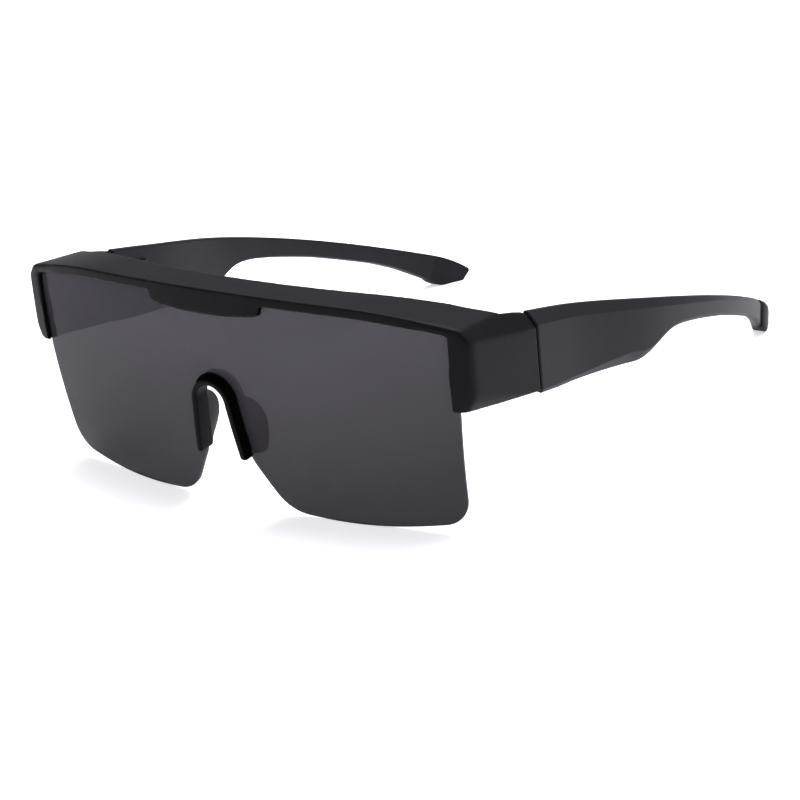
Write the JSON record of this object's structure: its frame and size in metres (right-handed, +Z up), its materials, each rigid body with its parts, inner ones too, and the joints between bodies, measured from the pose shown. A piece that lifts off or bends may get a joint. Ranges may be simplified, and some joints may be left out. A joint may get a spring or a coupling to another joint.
{
  "type": "fit-over shield sunglasses",
  "caption": "Wrap-style shield sunglasses with one dark lens, a half-rim brow frame with deep end pieces, a saddle nose piece and folding temples.",
  "frame": {"origin": "on the table, under the middle of the outline, with the part standing on its lens and temple tips", "axes": "+Z up, the lens faces -Y, and the wearer's left side is +X"},
  "size_m": [0.1604, 0.1913, 0.0632],
  "materials": {
    "frame": "soft-touch matte black",
    "temple": "soft-touch matte black",
    "lens": "dark smoke-grey polycarbonate",
    "nose_piece": "satin black",
    "hinge": "blackened steel",
    "screw": "blackened steel"
  },
  "bodies": {
    "root": {"front_frame": "frame", "shield_lens": "lens", "nose_piece": "nose_piece", "left_end_leaf": "hinge", "right_end_leaf": "hinge", "left_hinge_screw": "screw", "right_hinge_screw": "screw", "end_leaf_screws": "screw"},
    "left_temple": {"left_temple": "temple", "left_temple_leaf": "hinge", "left_leaf_screws": "screw"},
    "right_temple": {"right_temple": "temple", "right_temple_leaf": "hinge", "right_leaf_screws": "screw"}
  },
  "joints": [
    {"name": "left_temple_fold", "type": "hinge", "parent": "root", "child": "left_temple", "pos_m": [0.0695, -0.0532, 0.0415], "axis": [0, 0, 1], "range_deg": [0, 90]},
    {"name": "right_temple_fold", "type": "hinge", "parent": "root", "child": "right_temple", "pos_m": [-0.0695, -0.0532, 0.0415], "axis": [0, 0, -1], "range_deg": [0, 78]}
  ]
}
